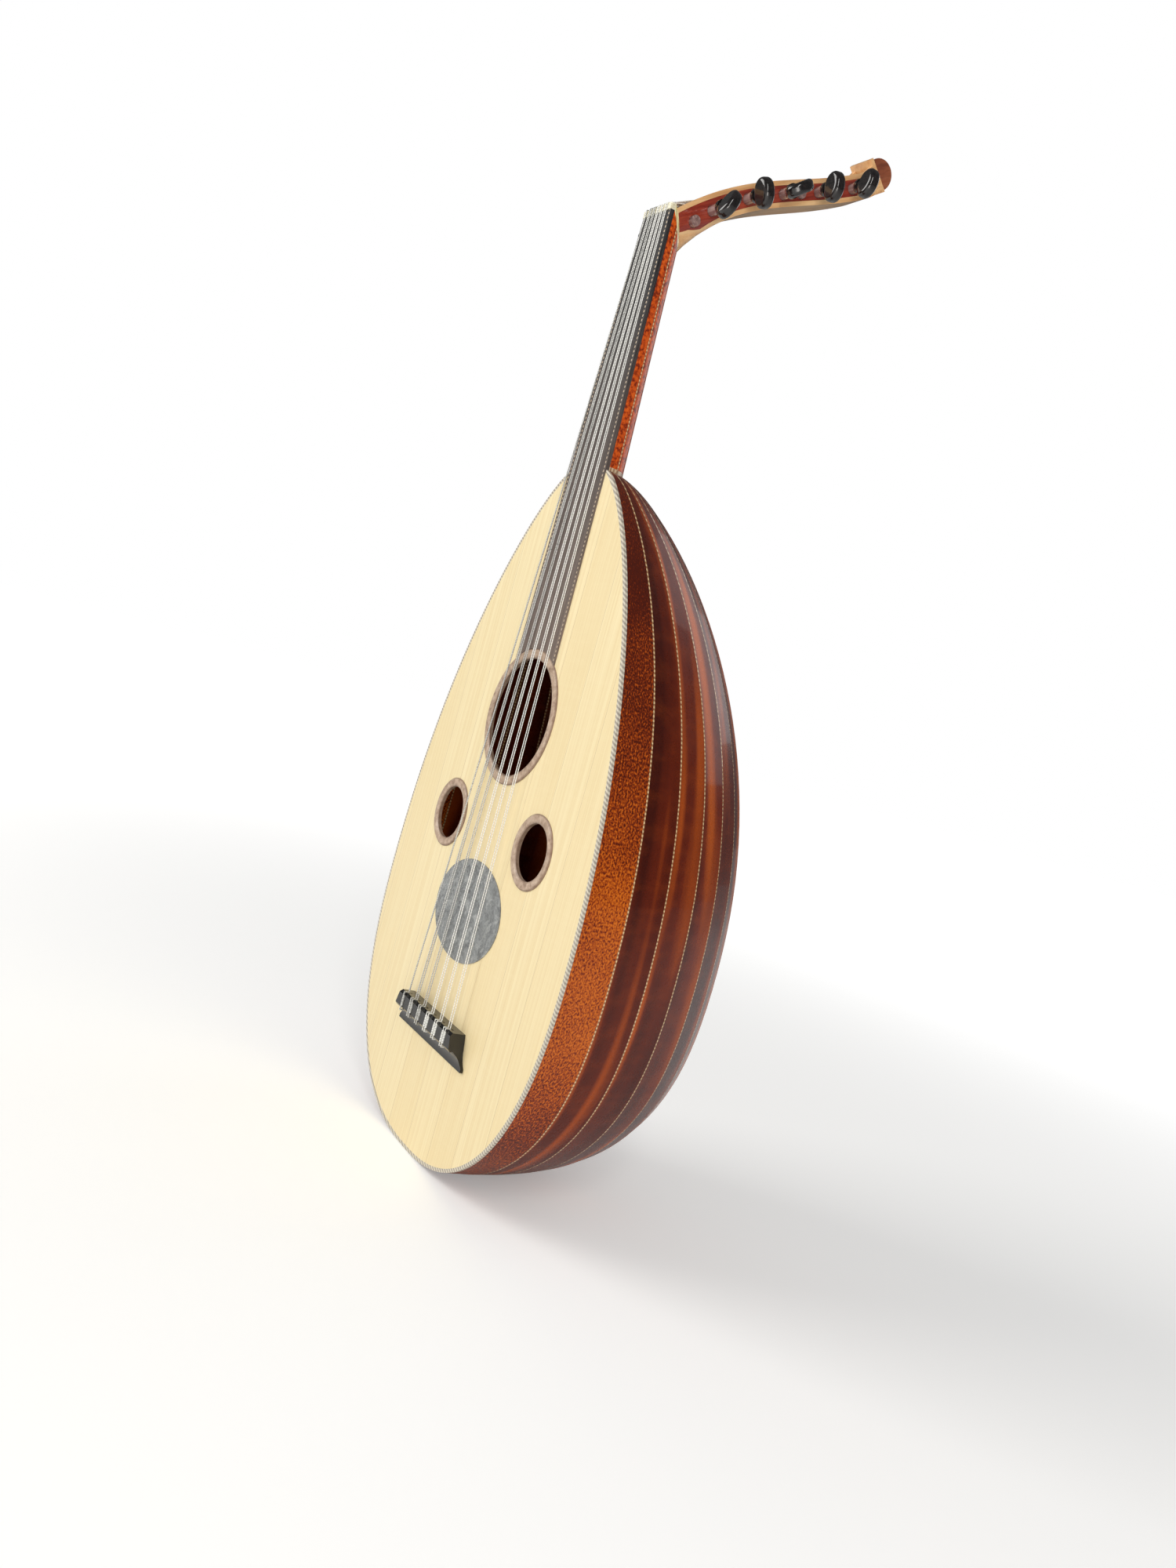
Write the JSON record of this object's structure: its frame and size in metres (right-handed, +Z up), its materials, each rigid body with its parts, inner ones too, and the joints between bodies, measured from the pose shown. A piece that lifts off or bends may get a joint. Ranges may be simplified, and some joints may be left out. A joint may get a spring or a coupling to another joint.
{
  "type": "oud",
  "caption": "Pear-shaped plucked lute with a deep ribbed bowl, flat soundboard with round sound holes, short fretless neck and a bent-back pegbox with turning friction pegs.",
  "frame": {"origin": "lowest point of the tail, on the centre plane, at the soundboard's face plane", "axes": "+Z up along the strings towards the nut, -Y out of the soundboard's face, +X towards the treble side"},
  "size_m": [0.3, 0.2097, 0.789],
  "materials": {
    "spruce": "satin lacquer",
    "rib_wood": "gloss lacquer",
    "edge_rib_wood": "gloss lacquer",
    "light_line": "gloss lacquer",
    "block_wood": "bare",
    "rope_purfling": "satin",
    "ring_wood": "satin",
    "pickguard_shell": "gloss",
    "brace_wood": "bare",
    "neck_wood": "gloss lacquer",
    "ivory_trim": "satin",
    "ebony": "satin",
    "maple": "gloss lacquer",
    "red_panel": "gloss lacquer",
    "finial_wood": "gloss lacquer",
    "bridge_black": "gloss",
    "wound_string": "wound",
    "nylon_string": "clear nylon",
    "peg_ebony": "gloss"
  },
  "bodies": {
    "instrument": {"bowl_rib_01": "edge_rib_wood", "bowl_rib_02": "rib_wood", "bowl_rib_03": "rib_wood", "bowl_rib_04": "rib_wood", "bowl_rib_05": "rib_wood", "bowl_rib_06": "rib_wood", "bowl_rib_07": "rib_wood", "bowl_rib_08": "rib_wood", "bowl_rib_09": "rib_wood", "bowl_rib_10": "rib_wood", "bowl_rib_11": "rib_wood", "bowl_rib_12": "rib_wood", "bowl_rib_13": "rib_wood", "bowl_rib_14": "rib_wood", "bowl_rib_15": "rib_wood", "bowl_rib_16": "rib_wood", "bowl_rib_17": "rib_wood", "bowl_rib_18": "rib_wood", "bowl_rib_19": "edge_rib_wood", "rib_stringing": "light_line", "end_clasp": "rib_wood", "tail_block": "block_wood", "neck_block": "block_wood", "soundboard": "spruce", "rope_binding": "rope_purfling", "main_hole_ring": "ring_wood", "small_ring_bass": "ring_wood", "small_ring_treble": "ring_wood", "pickguard": "pickguard_shell", "soundboard_braces": "brace_wood", "neck": "neck_wood", "neck_stringing": "light_line", "pegbox_collar": "ivory_trim", "neck_joint_band": "ivory_trim", "fingerboard": "ebony", "nut": "ivory_trim", "pegbox_cheek_bass": "maple", "pegbox_cheek_treble": "maple", "pegbox_side_panels": "red_panel", "pegbox_back": "maple", "finial": "finial_wood", "finial_collar": "maple", "bridge": "bridge_black", "strings_course_1": "wound_string", "strings_course_2": "wound_string", "strings_course_3": "wound_string", "strings_course_4": "nylon_string", "strings_course_5": "nylon_string", "strings_course_6": "nylon_string"},
    "peg_bass_1": {"peg_bass_1": "peg_ebony"},
    "peg_bass_2": {"peg_bass_2": "peg_ebony"},
    "peg_bass_3": {"peg_bass_3": "peg_ebony"},
    "peg_bass_4": {"peg_bass_4": "peg_ebony"},
    "peg_bass_5": {"peg_bass_5": "peg_ebony"},
    "peg_bass_6": {"peg_bass_6": "peg_ebony"},
    "peg_treble_1": {"peg_treble_1": "peg_ebony"},
    "peg_treble_2": {"peg_treble_2": "peg_ebony"},
    "peg_treble_3": {"peg_treble_3": "peg_ebony"},
    "peg_treble_4": {"peg_treble_4": "peg_ebony"},
    "peg_treble_5": {"peg_treble_5": "peg_ebony"}
  },
  "joints": [
    {"name": "peg_bass_1_turn", "type": "hinge", "parent": "instrument", "child": "peg_bass_1", "pos_m": [0, 0.01955, 0.68725], "axis": [1, 0, 0], "continuous": true},
    {"name": "peg_bass_2_turn", "type": "hinge", "parent": "instrument", "child": "peg_bass_2", "pos_m": [0, 0.04347, 0.70874], "axis": [1, 0, 0], "continuous": true},
    {"name": "peg_bass_3_turn", "type": "hinge", "parent": "instrument", "child": "peg_bass_3", "pos_m": [0, 0.07049, 0.72493], "axis": [1, 0, 0], "continuous": true},
    {"name": "peg_bass_4_turn", "type": "hinge", "parent": "instrument", "child": "peg_bass_4", "pos_m": [0, 0.09911, 0.73839], "axis": [1, 0, 0], "continuous": true},
    {"name": "peg_bass_5_turn", "type": "hinge", "parent": "instrument", "child": "peg_bass_5", "pos_m": [0, 0.12785, 0.75164], "axis": [1, 0, 0], "continuous": true},
    {"name": "peg_bass_6_turn", "type": "hinge", "parent": "instrument", "child": "peg_bass_6", "pos_m": [0, 0.15547, 0.76682], "axis": [1, 0, 0], "continuous": true},
    {"name": "peg_treble_1_turn", "type": "hinge", "parent": "instrument", "child": "peg_treble_1", "pos_m": [0, 0.031, 0.69886], "axis": [1, 0, 0], "continuous": true},
    {"name": "peg_treble_2_turn", "type": "hinge", "parent": "instrument", "child": "peg_treble_2", "pos_m": [0, 0.0567, 0.71733], "axis": [1, 0, 0], "continuous": true},
    {"name": "peg_treble_3_turn", "type": "hinge", "parent": "instrument", "child": "peg_treble_3", "pos_m": [0, 0.08469, 0.73185], "axis": [1, 0, 0], "continuous": true},
    {"name": "peg_treble_4_turn", "type": "hinge", "parent": "instrument", "child": "peg_treble_4", "pos_m": [0, 0.11356, 0.74489], "axis": [1, 0, 0], "continuous": true},
    {"name": "peg_treble_5_turn", "type": "hinge", "parent": "instrument", "child": "peg_treble_5", "pos_m": [0, 0.14185, 0.75891], "axis": [1, 0, 0], "continuous": true}
  ]
}
